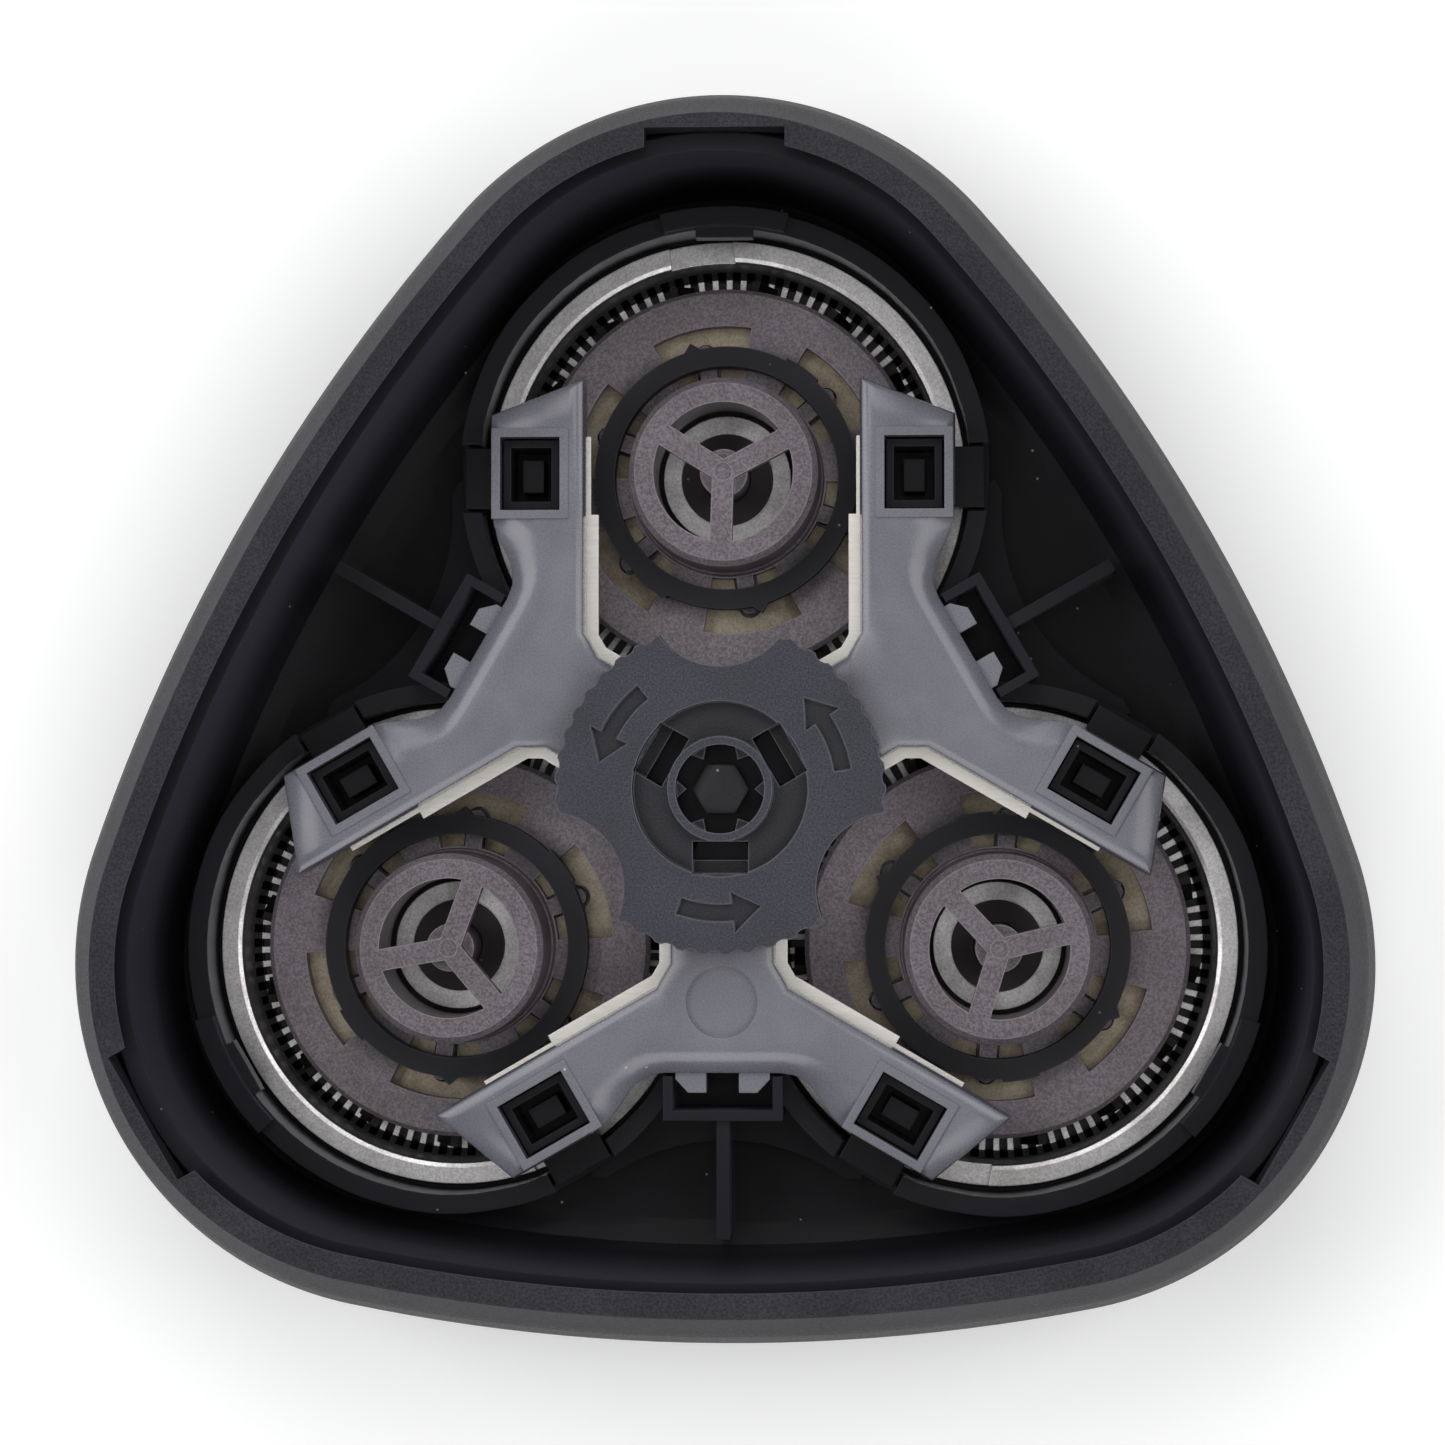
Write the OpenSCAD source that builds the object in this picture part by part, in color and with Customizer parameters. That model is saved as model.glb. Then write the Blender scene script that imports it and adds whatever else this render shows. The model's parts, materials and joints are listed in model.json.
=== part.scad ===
// Rotary shaver head seen from its drive side, lying on its guards.
// The lock knob turns about Z. +Y points from the knob towards the first cutting head.

/* [Outline] */
// How far the corner arcs reach outside the guards' flanges, at the widest level
corner_margin = 5.3; // [5:0.1:6]
// How far the centres of the corner arcs lie beyond the heads' centres
corner_shift = 1.3; // [1:0.1:2]
// Radius of the three long side arcs
side_r = 97; // [80:1:130]

/* [Shell] */
// Height of the shell's front face above the guards' faces
face_z = 0.8; // [0.5:0.1:1.2]
// Height of the rounded front edge, which ends at the widest level
front_round = 7.7; // [6:0.1:9]
// Depth of that rounded edge, measured inwards
round_in = 5.0; // [4.4:0.1:5.2]
// Height of the rim above the guards' faces
rim_z = 17; // [15:0.5:20]
// How far the rim stands inside the widest level
rim_inset = 2.2; // [1:0.1:3]
// Thickness of the shell's floor and flank
shell_wall = 1.3; // [1:0.1:1.6]
// Width of the locating notch in the rim at each corner
notch_w = 7.0; // [4:0.2:8]
// Depth of the locating notch below the rim
notch_depth = 2.4; // [1:0.2:4]
// Thickness of the rim that is left outside the middle of the notch
notch_skin = 0.75; // [0.7:0.05:1]
// Radius of the flat resting boss in the middle of the front
boss_r = 3.2; // [2:0.1:4]

/* [Holder] */
// Gap between the shell and the holder's wall
holder_gap = 0.15; // [0.1:0.05:0.3]
// Thickness of the holder's wall
holder_wall = 0.9; // [0.7:0.1:1.2]
// Thickness of the holder's floor
holder_floor = 0.9; // [0.7:0.1:1.2]
// How far the holder's wall stops below the rim
holder_drop = 1.4; // [1:0.1:2.4]
// Wall thickness of the collar round each guard
collar_wall = 1.0; // [0.8:0.1:1.2]
// Height of the collars above the holder's floor
collar_h = 3.5; // [3:0.1:4.2]
// Thickness of the ribs
rib_t = 0.66; // [0.5:0.02:1]
// Distance from the outline's long side to the free end of each rib
rib_gap = 5.1; // [4.9:0.1:7]

/* [Heads] */
// Gap between the flanges of neighbouring guards
head_gap = 3.35; // [3:0.05:4]
// How far a head can be pushed into the shell
float_travel = 1.0; // [0.5:0.1:1.1]
// Turn of each cutter about its own axis, as it lies
cutter_turn = [28, 70, 13]; // [0:1:120]
// Turn of each guard about its own axis, as it lies
guard_turn = [6.3, 87, -70]; // [-180:0.1:180]

/* [Guard] */
// Outer radius of the guard's side wall
guard_r = 11.9; // [11:0.1:13]
// How far the flange stands out from that wall
flange_w = 0.8; // [0.6:0.05:0.9]
// Thickness of the flange
flange_t = 0.5; // [0.4:0.05:0.6]
// Thickness of the guard's steel
guard_t = 0.35; // [0.25:0.05:0.45]
// Number of hair slots in the track
slot_count = 90; // [60:10:100]
// Distance from the guard's side to the outer ends of the slots
slot_edge = 0.85; // [0.8:0.05:1.1]
// Length of each slot
slot_len = 3.65; // [3:0.05:3.8]
// Angle of each slot
slot_deg = 2.3; // [1.6:0.1:2.6]
// Width of the notch in the flange
guard_notch_w = 3.4; // [2:0.2:5]

/* [Bearing] */
// Radius of the bearing's stem, pressed into the guard
stem_r = 2.42; // [2.2:0.02:2.8]
// Radius of the pin on which the cutter turns
pin_r = 1.25; // [1:0.05:1.5]
// Radial running clearance of that pin
pin_gap = 0.05; // [0.03:0.01:0.1]

/* [Cutter] */
// Number of blades
blade_count = 15; // [9:1:18]
// How far the blades stop short of the slots' outer ends
blade_out_gap = 0.2; // [0.1:0.05:0.6]
// How far the blades stop short of the slots' inner ends
blade_in_gap = 0.3; // [0.1:0.05:0.8]
// Thickness of the cutter's sheet
cutter_t = 0.35; // [0.25:0.05:0.45]
// Running gap between the blades and the guard's track
blade_gap = 0.07; // [0.05:0.01:0.15]
// Height of the cutter's disc above the guard's face
cutter_z = 1.75; // [1.5:0.05:1.9]

/* [Carrier] */
// Gap between the carrier's disc and the guard's side wall
carrier_gap = 1.3; // [1.1:0.05:1.9]
// Thickness of that disc
carrier_t = 0.9; // [0.7:0.05:1.1]
// Radius of the coupling at its foot
coupling_r = 5.2; // [5:0.05:5.25]
// Height of the coupling above the carrier's disc
coupling_h = 4.8; // [4:0.1:5]
// Radius of the socket inside the coupling
socket_r = 3.65; // [3.5:0.05:3.9]
// Width of the three spokes across the socket
spoke_w = 1.15; // [0.9:0.05:1.4]
// Thickness of the spokes
spoke_t = 0.9; // [0.6:0.1:1.2]
// Number of windows round the coupling
window_count = 6; // [4:1:7]
// Angle of each window
window_deg = 38; // [30:1:42]
// Width of the disc's rim outside the windows
carrier_rim = 2.0; // [1.5:0.1:2.4]

/* [Clip ring] */
// Inner radius of the ring that clips round the coupling
clip_in = 5.95; // [5.7:0.05:6.1]
// Outer radius of that ring
clip_out = 7.0; // [6.8:0.05:7.1]
// Height of that ring
clip_h = 1.3; // [1:0.1:1.6]

/* [Retaining frame] */
// Height of the frame's underside above the guards' faces
frame_z = 7.4; // [7.2:0.1:8]
// Thickness of the frame
frame_t = 1.9; // [1.5:0.1:2.4]
// Width of the rounded edge along the frame's top
frame_edge = 0.45; // [0.3:0.05:0.6]
// Width of the slope between the crest of an arm and its outer side
slope_w = 2.1; // [1:0.1:2.2]
// Drop of that slope, and height of the rounded edges
slope_drop = 0.7; // [0.4:0.05:0.9]
// Gap between the clip rings and the inner edges of the arms, in plan
arm_gap = 0.15; // [0.05:0.05:0.3]
// How far the outer edges of the pads stand inside the guards' flanges
pad_inset = 0.6; // [0.3:0.05:0.7]
// How far the pointed ends reach past the heads' centres
tip_reach = 4.8; // [4.4:0.1:5.4]
// Half width of the trunk where it leaves the hub
trunk_half = 2.75; // [2.4:0.05:3]
// How much nearer to the axis than the heads the straight edge between two arms lies
valley_in = 1.9; // [1.6:0.1:2.3]
// Size of the window in each pad, across and along the arm
pad_hole = [3.1, 3.8]; // [2.6:0.1:3.9]
// Width of the raised lip round each window
lip_w = 0.45; // [0.3:0.05:0.5]
// Height of that lip above the frame's top
lip_h = 0.12; // [0.05:0.01:0.3]
// Thickness of the steel plate under the frame
plate_t = 0.4; // [0.3:0.05:0.5]
// How far the plate shows beyond the inner edges of the arms
plate_rim = 0.6; // [0.2:0.02:0.7]

/* [Lock knob] */
// Radius of the knob over its grip scallops
knob_r = 8.5; // [7.8:0.1:8.6]
// Thickness of the knob
knob_t = 1.8; // [1.4:0.1:2.4]
// Gap between the frame and the knob
knob_gap = 0.2; // [0.1:0.05:0.4]
// Radius of the three deep bites that open the view of the heads
bite_r = 3.9; // [3.4:0.1:4.4]
// Distance from the axis to the bottom of each bite
bite_in = 6.3; // [6.1:0.05:6.9]
// Number of grip scallops round the whole edge
grip_count = 45; // [36:3:60]
// Radius of the recess in the middle
recess_r = 4.5; // [4.4:0.1:4.8]
// Depth of that recess
recess_depth = 0.8; // [0.4:0.1:1]
// Outer radius of the tube in the middle
tube_r = 2.7; // [2.6:0.05:2.9]
// Bore of that tube
tube_bore = 2.28; // [2.1:0.02:2.35]
// Depth of the arrows and of the dish in the frame
mark_depth = 0.3; // [0.1:0.05:0.5]

/* [Hidden] */
heads = [0, 1, 2];

// Smoothness of large and small round shapes
big_fn = 96;
small_fn = 48;
cut = 1; // how far a cutting shape runs past the surface that it opens

// Radii and distances that follow from one another
flange_r = guard_r + flange_w;
guard_inner_r = guard_r - guard_t;
track_out = guard_r - slot_edge;
track_in = track_out - slot_len;
blade_out = track_out - blade_out_gap;
blade_in = track_in + blade_in_gap;
carrier_r = guard_inner_r - carrier_gap;
window_out = carrier_r - carrier_rim;
head_dist = (2*flange_r + head_gap)/sqrt(3);
arm_in = clip_out + arm_gap;
arm_out = flange_r - pad_inset;
arm_tip = head_dist + tip_reach;
valley_y = head_dist - valley_in;

// Outline: three corner arcs and three side arcs that meet at a tangent
corner_r = flange_r + corner_margin;
corner_dist = head_dist + corner_shift;
corner_steps = 16;
side_steps = 3;
tip_gap = side_r - corner_r;
side_dist = (sqrt(4*tip_gap^2 - 3*corner_dist^2) - corner_dist)/2;
tangent_dir = atan2(corner_dist + side_dist/2, -side_dist*cos(30));
corner_half = tangent_dir - 90;
rib_end = side_r - side_dist - rib_gap;

// Levels of the stack, from the guards' faces upwards
widest_z = face_z + front_round;
floor_z = face_z + shell_wall;
seat_z = floor_z + holder_floor;
collar_z = seat_z + collar_h;
seat_gap = 0.05;
flange_z = seat_z + seat_gap;
flange_top = flange_z + flange_t;
carrier_z = cutter_z + cutter_t + seat_gap;
disc_z = carrier_z + carrier_t;
coupling_z = disc_z + coupling_h;
plate_z = frame_z - plate_t;
frame_top = frame_z + frame_t;
knob_z = frame_top + knob_gap;
knob_top = knob_z + knob_t;
foot_z = flange_top + float_travel + 0.15;

// Clearances and small radii round the heads
guard_hole_r = guard_r + 0.1;
shell_hole_r = guard_r + 0.25;
collar_r = flange_r + 0.25;
collar_out = collar_r + collar_wall;
hub_top_r = stem_r + 0.98;
hub_foot_r = track_in - 2.2;
hub_z = flange_z - 0.1;
window_in = coupling_r + 0.1;
tongue_w = 0.9;
tongue_end = clip_out + 0.3;
tongue_gap = 0.15;
through_h = 20; // taller than any piece
spoke_level = coupling_z - spoke_t;

// Feet and their places under the pads
pad_t = head_dist - 0.2;
pad_off = (arm_in + arm_out)/2 + 0.35;
foot_gap = 0.1;
foot_wall = 0.4;
foot_out = pad_hole + [0.9, 0.9];
lug_len = 3.2;
lug_reach = collar_out - 0.3;
notch_gap = 0.2;
lug_z = collar_z - 1.3;

// Bayonet between the knob and the post
skirt_out = 5.0;
skirt_in = 4.35;
bead_out = skirt_out + 0.45;
bead_h = 0.25;
hub_bore = skirt_out + 0.15;
plate_bore = skirt_out + 0.2;
hub_r = 6.9;
hub_step = 0.1;
bite_gap = 0.1;
trunk_start = hub_r - 1.1;
skirt_z = plate_z - bead_h - 0.05;
lug_t = 0.7;
lug_gap = 0.15;
lug_deg = 50;
post_lug_z = plate_z + lug_t + 2*lug_gap;
post_lug_r = skirt_in - 0.2;
post_r = 2.4;
post_top = post_lug_z + lug_t;
tip_r = 1.45;

// Direction of head n and the turn that brings head 1 to it
function head_dir(n) = 90 + 120*n;
function unit(a) = [cos(a), sin(a)];

module at_head(n) {
    rotate(120*n) translate([0, head_dist, 0]) children();
}

module three_times(start = 0) {
    for (k = heads) rotate(start + 120*k) children();
}

module tube(r_out, r_in, h, fn = big_fn) {
    difference() {
        cylinder(r = r_out, h = h, $fn = fn);
        translate([0, 0, -cut]) cylinder(r = r_in, h = h + 2*cut, $fn = fn);
    }
}

// A flat ring sector between two radii, centred on the +X direction
module ring_sector(r_out, r_in, angle, h) {
    rotate(-angle/2) rotate_extrude(angle = angle, $fn = big_fn)
        translate([r_in, 0]) square([r_out - r_in, h]);
}

// Directions of the outline's normals, from one valley to the next, three times
third = concat(
    [for (i = [0:side_steps - 1]) -60 + (60 - corner_half)*i/side_steps],
    [for (i = [0:corner_steps - 1]) corner_half*(2*i/corner_steps - 1)],
    [for (i = [0:side_steps - 1]) corner_half + (60 - corner_half)*i/side_steps]
);
stations = [for (k = heads) for (b = third) [head_dir(k), b]];
count = len(stations);

function on_corner(b) = abs(b) <= corner_half + 0.001;
function arc_centre(s) = on_corner(s[1])
    ? corner_dist*unit(s[0])
    : -side_dist*unit(s[0] + 60*sign(s[1]));
function arc_radius(s) = on_corner(s[1]) ? corner_r : side_r;
function outline_point(s, inset) = arc_centre(s) + (arc_radius(s) - inset)*unit(s[0] + s[1]);
function loop(inset, z) = [for (s = stations) let (p = outline_point(s, inset)) [p.x, p.y, z]];

// A closed cup: loops run from the middle of the underside, over the rim, to the inner floor
module cup(levels) {
    n = len(levels);
    points = [for (v = levels) each loop(v[0], v[1])];
    sides = [for (j = [0:n - 2]) for (i = [0:count - 1])
        let (k = (i + 1)%count)
        [j*count + i, (j + 1)*count + i, (j + 1)*count + k, j*count + k]];
    bottom = [for (i = [0:count - 1]) i];
    top = [for (i = [count - 1:-1:0]) (n - 1)*count + i];
    polyhedron(points, concat(sides, [bottom], [top]));
}

// Section of the flank: a quarter ellipse up to the widest level, then a slow arc in to the rim
round_steps = 6;
flank_steps = 3;
flank_h = rim_z - widest_z;
flank_r = (flank_h^2 + rim_inset^2)/(2*rim_inset);
function flank_inset(z) = flank_r - sqrt(flank_r^2 - (z - widest_z)^2);
function lower_levels(skin) = [for (i = [0:round_steps])
    let (a = 90*i/round_steps)
    [round_in - (round_in - skin)*sin(a), widest_z - (front_round - skin)*cos(a)]];
function upper_levels(skin, top) = [for (i = [1:flank_steps])
    let (z = widest_z + (top - widest_z)*i/flank_steps)
    [skin + flank_inset(z), z]];
function reversed(list) = [for (i = [len(list) - 1:-1:0]) list[i]];
function cup_levels(outer_skin, inner_skin, top) = concat(
    lower_levels(outer_skin),
    upper_levels(outer_skin, top),
    reversed(upper_levels(inner_skin, top)),
    reversed(lower_levels(inner_skin))
);

module outer_shell() {
    notch_y = corner_dist + corner_r - rim_inset - notch_skin;
    notch_reach = 3*shell_wall;
    color([0.2, 0.2, 0.22])
    difference() {
        union() {
            cup(cup_levels(0, shell_wall, rim_z));
            cylinder(r = boss_r, h = face_z + 0.2, $fn = small_fn);
        }
        for (n = heads) at_head(n)
            translate([0, 0, -cut]) cylinder(r = shell_hole_r, h = floor_z + 2*cut, $fn = big_fn);
        three_times() translate([-notch_w/2, notch_y - notch_reach, rim_z - notch_depth])
            cube([notch_w, notch_reach, notch_depth + cut]);
    }
}

// One socket for the two teeth of the frame, with the rib behind it
socket_w = 6.2;
socket_wall = 0.5;
socket_depth = 2.3;
socket_y = valley_y + 0.2;
socket_h = frame_z + 1 - seat_z;
module valley_socket() {
    translate([0, 0, seat_z]) {
        difference() {
            translate([-socket_w/2, -socket_y - socket_depth, 0]) cube([socket_w, socket_depth, socket_h]);
            translate([-socket_w/2 + socket_wall, -socket_y - socket_depth + socket_wall, -cut])
                cube([socket_w - 2*socket_wall, socket_depth, socket_h + 2*cut]);
        }
        translate([-rib_t/2, -rib_end, 0]) cube([rib_t, rib_end - socket_y - socket_depth + 0.2, collar_h + 1.5]);
    }
}

// The low shelf that joins two collars behind the socket
module valley_shelf() {
    shelf_half = head_dist*cos(30)/2;
    shelf_end = valley_y + 5.9;
    scoop_y = valley_y + 3.9;
    scoop_r = 11;
    translate([0, 0, floor_z + 0.1]) linear_extrude(holder_floor + 1.1) difference() {
        translate([-shelf_half, -shelf_end]) square([2*shelf_half, shelf_end - socket_y]);
        translate([0, -scoop_y - scoop_r]) circle(r = scoop_r, $fn = big_fn);
        for (s = [-1, 1]) translate([s*head_dist*cos(30), -head_dist/2]) circle(r = collar_r + 0.3, $fn = big_fn);
    }
}

// Raised block on the outermost part of a collar, with a key over the guard's edge
module collar_block() {
    block_deg = 28;
    key = [guard_notch_w - 0.4, 0.9, 1.1];
    translate([0, 0, collar_z - 0.2]) rotate(90) ring_sector(collar_out + 0.1, collar_r + 0.1, block_deg, 0.7);
    translate([-key.x/2, collar_r + 0.4 - key.y, collar_z + 0.2 - key.z]) cube(key);
}

module collar_notches() {
    for (s = [-1, 1])
        translate([s*(collar_r + collar_wall/2) - collar_wall, -lug_len/2 - notch_gap + pad_t - head_dist, lug_z])
            cube([2*collar_wall, lug_len + 2*notch_gap, collar_h]);
}

// Post with three bayonet lugs and a three-sided point on a six-sided tip
module centre_post() {
    root_r = 2.9;
    tip_z = knob_top - 0.5;
    tilt = 24;
    translate([0, 0, floor_z]) cylinder(r = root_r, h = collar_z - floor_z, $fn = small_fn);
    cylinder_z = collar_z - 0.2;
    translate([0, 0, cylinder_z]) cylinder(r = post_r, h = post_top - cylinder_z, $fn = small_fn);
    three_times(30) translate([0, 0, post_lug_z]) ring_sector(post_lug_r, post_r - 0.3, lug_deg, lug_t);
    intersection() {
        translate([0, 0, post_top - 0.2]) linear_extrude(tip_z - post_top + 0.2) circle(r = tip_r, $fn = 6);
        translate([0, 0, tip_z]) rotate([tilt, 0, 0]) translate([-5, -5, -10]) cube(10);
        translate([0, 0, tip_z]) rotate(120) rotate([tilt, 0, 0]) translate([-5, -5, -10]) cube(10);
        translate([0, 0, tip_z]) rotate(240) rotate([tilt, 0, 0]) translate([-5, -5, -10]) cube(10);
    }
}

module inner_holder() {
    outer_skin = shell_wall + holder_gap;
    color([0.07, 0.07, 0.08])
    difference() {
        union() {
            cup(holder_levels());
            for (n = heads) at_head(n) {
                translate([0, 0, seat_z - 0.2]) tube(collar_out, collar_r, collar_h + 0.2);
                collar_block();
            }
            three_times() {
                valley_socket();
                valley_shelf();
            }
            centre_post();
        }
        for (n = heads) at_head(n) {
            translate([0, 0, floor_z - cut]) cylinder(r = guard_hole_r, h = holder_floor + 2*cut, $fn = big_fn);
            translate([0, 0, seat_z]) cylinder(r = collar_r, h = collar_h - 1, $fn = big_fn);
            collar_notches();
        }
    }
}

// The holder's cup is flat on the shell's floor and follows the shell's inside at a gap
function holder_levels() = let (
        outer = shell_wall + holder_gap,
        inner = outer + holder_wall,
        top = rim_z - holder_drop,
        foot = lower_levels(outer)
    ) concat(
        [[round_in + 0.6, floor_z]],
        [for (i = [1:round_steps]) foot[i]],
        upper_levels(outer, top),
        reversed(upper_levels(inner, top)),
        [for (i = [round_steps:-1:1]) lower_levels(inner)[i]],
        [[round_in + 0.6, seat_z]]
    );

// Outline of one trunk and its two arms, pointing along -Y. Its inner edges, its outer edges and the
// crest beside the waist can each be moved.
axis_dir = unit(-30);
side_dir = unit(240);
corner_cut = 0.8;
corner_t = (trunk_half + arm_in/2)/cos(30);
corner_y = -corner_t/2 - arm_in*cos(30);
waist_steps = 7;
waist_t = pad_t - pad_hole.y/2 - 0.1;
function arm_point(t, off) = t*axis_dir + off*side_dir;
function bezier(p, t) = (1 - t)^3*p[0] + 3*(1 - t)^2*t*p[1] + 3*(1 - t)*t^2*p[2] + t^3*p[3];
function arm_half(inner_grow, outer_grow, slope = 0) = let (
        inner = arm_in - inner_grow,
        outer = arm_out + outer_grow,
        tip = arm_tip + 1.2*outer_grow,
        shoulder = head_dist + 2.4 + 0.6*outer_grow,
        waist = arm_point(waist_t - 0.15*slope, outer - 0.08 - slope),
        valley = [3.0, -valley_y - outer_grow + 0.35*slope],
        curve = [waist, waist - (1.6 + 0.3*slope)*axis_dir, valley + [2.0 + 0.2*slope, 0], valley]
    ) concat(
        [[trunk_half + inner_grow, -trunk_start]],
        [[trunk_half + inner_grow, corner_y + corner_cut]],
        [arm_point(corner_t + corner_cut, inner)],
        [arm_point(tip, inner)],
        [arm_point(tip - 0.1, inner + 0.35)],
        [arm_point(shoulder + 0.5, outer)],
        [arm_point(shoulder - 0.5, outer)],
        [arm_point(waist_t + 0.4, outer)],
        [for (i = [0:waist_steps]) bezier(curve, i/waist_steps)]
    );
function mirrored(list) = [for (p = list) [-p.x, p.y]];
function trunk_outline(inner_grow, outer_grow, slope = 0) = let (
        half = arm_half(inner_grow, outer_grow, slope)
    ) concat(mirrored(half), reversed(half));

// A trunk with rounded upper edges and, beside each waist, a slope that rises to a crest
module trunk(z, h) {
    low_edge = 0.25*frame_edge;
    outline = [
        trunk_outline(0, 0), trunk_outline(0, 0),
        trunk_outline(-low_edge, -low_edge, 0.5*slope_w), trunk_outline(-frame_edge, -frame_edge, slope_w)
    ];
    zs = [z, z + h - slope_drop, z + h - 0.28*slope_drop, z + h];
    m = len(outline[0]);
    points = [for (j = [0:3]) for (p = outline[j]) [p.x, p.y, zs[j]]];
    walls = [for (j = [0:2]) for (i = [0:m - 1])
        let (k = (i + 1)%m)
        [j*m + i, (j + 1)*m + i, (j + 1)*m + k, j*m + k]];
    cap = trunk_cap(m);
    top = [for (face = cap) reversed([for (i = face) 3*m + i])];
    polyhedron(points, concat(walls, cap, top));
}

// Faces that cover a trunk outline of m points: strips for the trunk, a fan for each pad and one for
// each waist
function trunk_cap(m) = let (h = m/2, fork = 2, waist = 8) concat(
    [for (i = [0:fork - 1]) [i, i + 1, m - 2 - i, m - 1 - i]],
    [[fork, h - 1, h, m - 1 - fork]],
    [for (k = [fork:waist - 2]) [waist, k, k + 1]],
    [for (k = [fork:waist - 2]) [m - 1 - waist, m - 2 - k, m - 1 - k]],
    [for (k = [waist:h - 2]) [fork, k, k + 1]],
    [for (k = [waist:h - 2]) [m - 1 - fork, m - 2 - k, m - 1 - k]]
);

// Puts its children at the six pads, turned along the arm
module at_pad(k) {
    side = k%2 == 0 ? 1 : -1;
    rotate(120*floor(k/2)) mirror([side > 0 ? 0 : 1, 0, 0])
        translate([pad_off, pad_t, 0]) children();
}

tooth_w = 1.6;
tooth_gap = 1.7;
tooth_len = 1.05;
module frame_teeth() {
    root = 0.6;
    end_w = 0.95;
    for (s = [0, 1]) mirror([s, 0, 0])
        translate([tooth_gap/2, -valley_y, frame_z - root]) linear_extrude(1.5) polygon([
            [0, root], [0, -tooth_len], [end_w, -tooth_len], [tooth_w, -tooth_len/3], [tooth_w, root]
        ]);
}

module pad_lips() {
    lip = pad_hole + [2*lip_w, 2*lip_w];
    for (k = [0:5]) at_pad(k)
        translate([-lip.x/2, -lip.y/2, frame_z + frame_t/2]) cube([lip.x, lip.y, frame_t/2 + lip_h]);
}

module retaining_frame() {
    dish_y = (hub_r + valley_y)/2 + 0.2;
    dish_r = 1.85;
    color([0.36, 0.37, 0.39])
    difference() {
        union() {
            three_times() {
                trunk(frame_z, frame_t);
                frame_teeth();
            }
            translate([0, 0, frame_z + hub_step]) cylinder(r = hub_r, h = frame_t - 2*hub_step, $fn = big_fn);
            pad_lips();
        }
        translate([0, 0, frame_z - cut]) cylinder(r = hub_bore, h = frame_t + 2*cut, $fn = big_fn);
        for (k = [0:5]) at_pad(k)
            translate([-pad_hole.x/2, -pad_hole.y/2, frame_z - cut]) cube([pad_hole.x, pad_hole.y, frame_t + 2*cut]);
        translate([0, -dish_y, frame_top - mark_depth]) cylinder(r = dish_r, h = frame_t, $fn = small_fn);
        translate([0, 0, frame_z - cut]) linear_extrude(frame_t + 2*cut) bites(bite_gap);
    }
}

// Spring steel under the frame. It shows along the inner edges of the arms, less beside the windows.
module plate_outline() {
    hidden = 0.3;
    narrow = 0.2;
    plate_end = head_dist + 1.9;
    relief = [2*tooth_w + tooth_gap + 1.9, 2.8];
    difference() {
        union() {
            three_times() polygon(trunk_outline(plate_rim, -hidden));
            circle(r = hub_r + 0.2, $fn = big_fn);
        }
        three_times() {
            translate([-arm_out - cut, plate_end]) square([2*(arm_out + cut), tip_reach]);
            translate([narrow - arm_in, waist_t]) square([2*(arm_in - narrow), tip_reach]);
            translate([-relief.x/2, -valley_y - 2]) square(relief);
        }
        circle(r = plate_bore, $fn = big_fn);
        bites(bite_gap);
        for (k = [0:5]) at_pad(k) translate([-pad_hole.x/2, -pad_hole.y/2]) square(pad_hole);
    }
}

module spring_plate() {
    color([0.8, 0.8, 0.78]) translate([0, 0, plate_z]) linear_extrude(plate_t) plate_outline();
}

// A foot stands over a guard's flange, hooks into the collar and clips into the frame
module foot(k) {
    neck = pad_hole - [2*foot_gap, 2*foot_gap];
    neck_top = frame_top - 0.7;
    well = neck - [2*foot_wall, 2*foot_wall];
    peg = [1.1, 1.7];
    color([0.05, 0.05, 0.06]) at_pad(k) {
        difference() {
            union() {
                translate([-foot_out.x/2, -foot_out.y/2, foot_z]) cube([foot_out.x, foot_out.y, plate_z - foot_z]);
                translate([-neck.x/2, -neck.y/2, plate_z - 0.1]) cube([neck.x, neck.y, neck_top - plate_z + 0.1]);
                translate([foot_out.x/2 - 0.2, -lug_len/2, lug_z]) cube([lug_reach - pad_off - foot_out.x/2 + 0.2, lug_len, 1.2]);
            }
            translate([-well.x/2, -well.y/2, foot_z + 0.6]) cube([well.x, well.y, frame_top]);
        }
        translate([-peg.x/2, -peg.y/2, foot_z + 0.5]) cube([peg.x, peg.y, frame_z - foot_z - 0.5]);
    }
}

// Arrow along an arc of radius r, pointing anticlockwise
module arrow(r) {
    tail = 26;
    head_deg = 13;
    shaft_w = 0.9;
    head_w = 2.1;
    rotate(-tail/2 - head_deg/2) {
        rotate_extrude(angle = tail, $fn = big_fn) translate([r - shaft_w/2, 0]) square([shaft_w, 2*mark_depth]);
        linear_extrude(2*mark_depth) polygon([
            (r + head_w/2)*unit(tail - 0.5),
            r*unit(tail + head_deg),
            (r - head_w/2)*unit(tail - 0.5)
        ]);
    }
}

module bites(gap = 0) {
    three_times(90) translate([bite_in + bite_r, 0]) circle(r = bite_r + gap, $fn = small_fn);
}

module knob_edge() {
    grip_r = 0.62;
    difference() {
        circle(r = knob_r, $fn = big_fn);
        for (i = [0:grip_count - 1]) rotate(360*(i + 0.5)/grip_count)
            translate([knob_r + 0.45, 0]) circle(r = grip_r, $fn = 24);
        bites();
    }
}

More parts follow.
